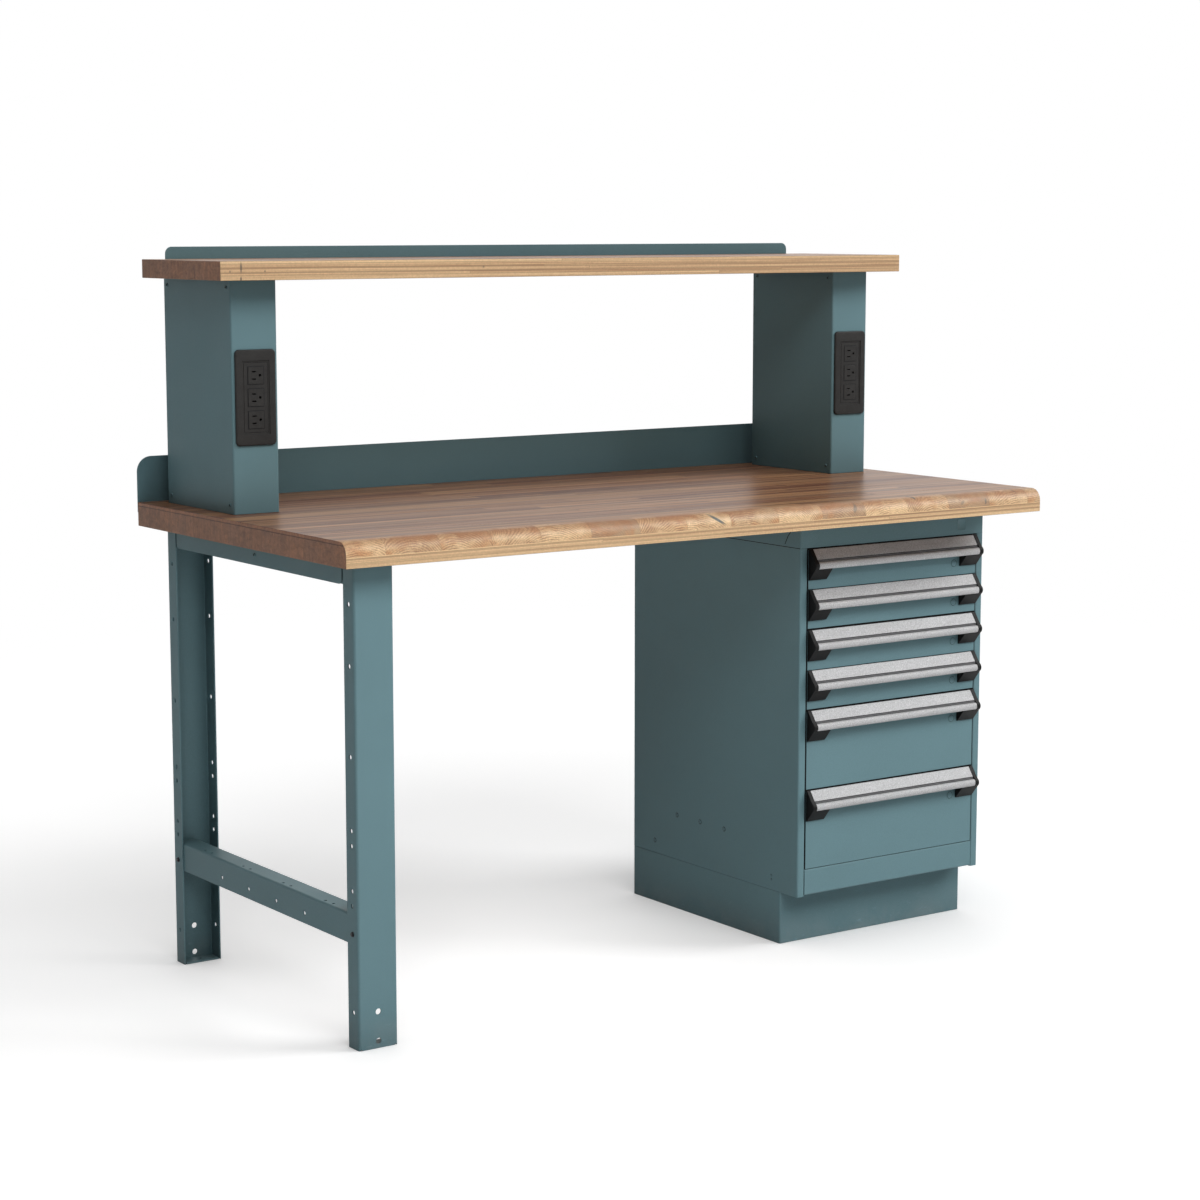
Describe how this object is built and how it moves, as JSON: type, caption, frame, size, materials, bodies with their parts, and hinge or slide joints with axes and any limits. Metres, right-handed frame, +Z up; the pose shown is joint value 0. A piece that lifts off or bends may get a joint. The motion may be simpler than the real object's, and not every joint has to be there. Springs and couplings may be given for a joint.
{
  "type": "workbench with drawers",
  "caption": "Workbench with a laminated wood top, a steel leg frame at one end, a drawer cabinet at the other, and a wood shelf raised on steel columns with power outlets.",
  "frame": {"origin": "on the floor, under the middle of the bench's bounding box", "axes": "+X to the user's right along the bench, +Y to the back, +Z up; the drawers open towards -Y"},
  "size_m": [1.524, 0.7638, 1.3176],
  "materials": {
    "maple": "oiled, satin, laminated strips",
    "paint": "grey-teal powder coat, fine texture",
    "steel": "zinc-plated, satin",
    "aluminium": "anodised, fine grain",
    "plastic": "moulded black, fine texture"
  },
  "bodies": {
    "frame": {"worktop": "maple", "worktop_backstop": "paint", "front_leg": "paint", "rear_leg": "paint", "leg_stretcher": "paint", "leg_top_angle": "paint", "cabinet_side_left": "paint", "cabinet_side_right": "paint", "cabinet_back": "paint", "cabinet_cap": "paint", "cabinet_bottom": "paint", "cabinet_base": "paint", "slide_rack_left": "steel", "slide_rack_right": "steel", "riser_column_left": "paint", "riser_column_right": "paint", "column_cover_left": "paint", "column_cover_right": "paint", "riser_shelf": "maple", "shelf_backstop": "paint", "outlet_plate_left": "plastic", "outlet_plate_right": "plastic", "outlet_block_left": "plastic", "outlet_block_right": "plastic"},
    "drawer_1": {"drawer_1_tray": "paint", "drawer_1_pull": "aluminium", "drawer_1_cap_left": "plastic", "drawer_1_cap_right": "plastic"},
    "drawer_2": {"drawer_2_tray": "paint", "drawer_2_pull": "aluminium", "drawer_2_cap_left": "plastic", "drawer_2_cap_right": "plastic"},
    "drawer_3": {"drawer_3_tray": "paint", "drawer_3_pull": "aluminium", "drawer_3_cap_left": "plastic", "drawer_3_cap_right": "plastic"},
    "drawer_4": {"drawer_4_tray": "paint", "drawer_4_pull": "aluminium", "drawer_4_cap_left": "plastic", "drawer_4_cap_right": "plastic"},
    "drawer_5": {"drawer_5_tray": "paint", "drawer_5_pull": "aluminium", "drawer_5_cap_left": "plastic", "drawer_5_cap_right": "plastic"},
    "drawer_6": {"drawer_6_tray": "paint", "drawer_6_pull": "aluminium", "drawer_6_cap_left": "plastic", "drawer_6_cap_right": "plastic"},
    "slide_1": {"slide_1_member_left": "steel", "slide_1_member_right": "steel"},
    "slide_2": {"slide_2_member_left": "steel", "slide_2_member_right": "steel"},
    "slide_3": {"slide_3_member_left": "steel", "slide_3_member_right": "steel"},
    "slide_4": {"slide_4_member_left": "steel", "slide_4_member_right": "steel"},
    "slide_5": {"slide_5_member_left": "steel", "slide_5_member_right": "steel"},
    "slide_6": {"slide_6_member_left": "steel", "slide_6_member_right": "steel"}
  },
  "joints": [
    {"name": "drawer_1_travel", "type": "slide", "parent": "frame", "child": "drawer_1", "axis": [0, -1, 0], "range_m": [0, 0.452]},
    {"name": "drawer_2_travel", "type": "slide", "parent": "frame", "child": "drawer_2", "axis": [0, -1, 0], "range_m": [0, 0.452]},
    {"name": "drawer_3_travel", "type": "slide", "parent": "frame", "child": "drawer_3", "axis": [0, -1, 0], "range_m": [0, 0.452]},
    {"name": "drawer_4_travel", "type": "slide", "parent": "frame", "child": "drawer_4", "axis": [0, -1, 0], "range_m": [0, 0.452]},
    {"name": "drawer_5_travel", "type": "slide", "parent": "frame", "child": "drawer_5", "axis": [0, -1, 0], "range_m": [0, 0.452]},
    {"name": "drawer_6_travel", "type": "slide", "parent": "frame", "child": "drawer_6", "axis": [0, -1, 0], "range_m": [0, 0.452]},
    {"name": "slide_1_travel", "type": "slide", "parent": "frame", "child": "slide_1", "axis": [0, -1, 0], "range_m": [0, 0.226]},
    {"name": "slide_2_travel", "type": "slide", "parent": "frame", "child": "slide_2", "axis": [0, -1, 0], "range_m": [0, 0.226]},
    {"name": "slide_3_travel", "type": "slide", "parent": "frame", "child": "slide_3", "axis": [0, -1, 0], "range_m": [0, 0.226]},
    {"name": "slide_4_travel", "type": "slide", "parent": "frame", "child": "slide_4", "axis": [0, -1, 0], "range_m": [0, 0.226]},
    {"name": "slide_5_travel", "type": "slide", "parent": "frame", "child": "slide_5", "axis": [0, -1, 0], "range_m": [0, 0.226]},
    {"name": "slide_6_travel", "type": "slide", "parent": "frame", "child": "slide_6", "axis": [0, -1, 0], "range_m": [0, 0.226]}
  ],
  "couplings": [
    {"joint": "slide_1_travel", "follows": "drawer_1_travel", "ratio": 0.5},
    {"joint": "slide_2_travel", "follows": "drawer_2_travel", "ratio": 0.5},
    {"joint": "slide_3_travel", "follows": "drawer_3_travel", "ratio": 0.5},
    {"joint": "slide_4_travel", "follows": "drawer_4_travel", "ratio": 0.5},
    {"joint": "slide_5_travel", "follows": "drawer_5_travel", "ratio": 0.5},
    {"joint": "slide_6_travel", "follows": "drawer_6_travel", "ratio": 0.5}
  ]
}
